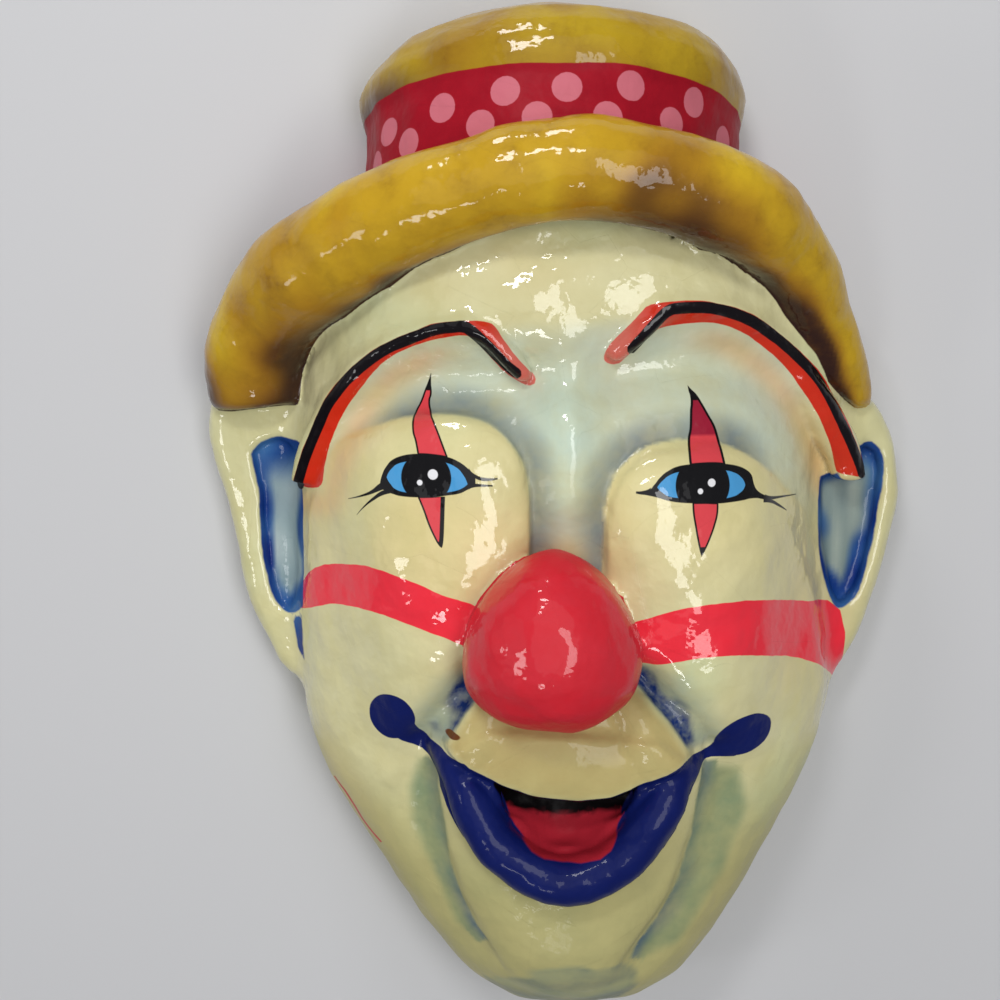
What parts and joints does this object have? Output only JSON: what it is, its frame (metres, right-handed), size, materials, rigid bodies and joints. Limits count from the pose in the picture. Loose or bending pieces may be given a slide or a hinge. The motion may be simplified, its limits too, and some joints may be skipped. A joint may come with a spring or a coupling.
{
  "type": "papier-mache clown mask",
  "caption": "Hollow moulded clown mask with a ball nose, raised brows, open smiling mouth, flap ears and a hat with a padded brim.",
  "frame": {"origin": "centre of the bounding box on the plane of the back rim, on which the mask lies", "axes": "+X across the face to its left ear, seen from the front on the right; +Y from the chin to the top of the hat; +Z out of the face"},
  "size_m": [0.3481, 0.4987, 0.16],
  "materials": {
    "painted_paper": "gloss"
  },
  "bodies": {
    "root": {"clown_mask": "painted_paper"}
  },
  "joints": []
}
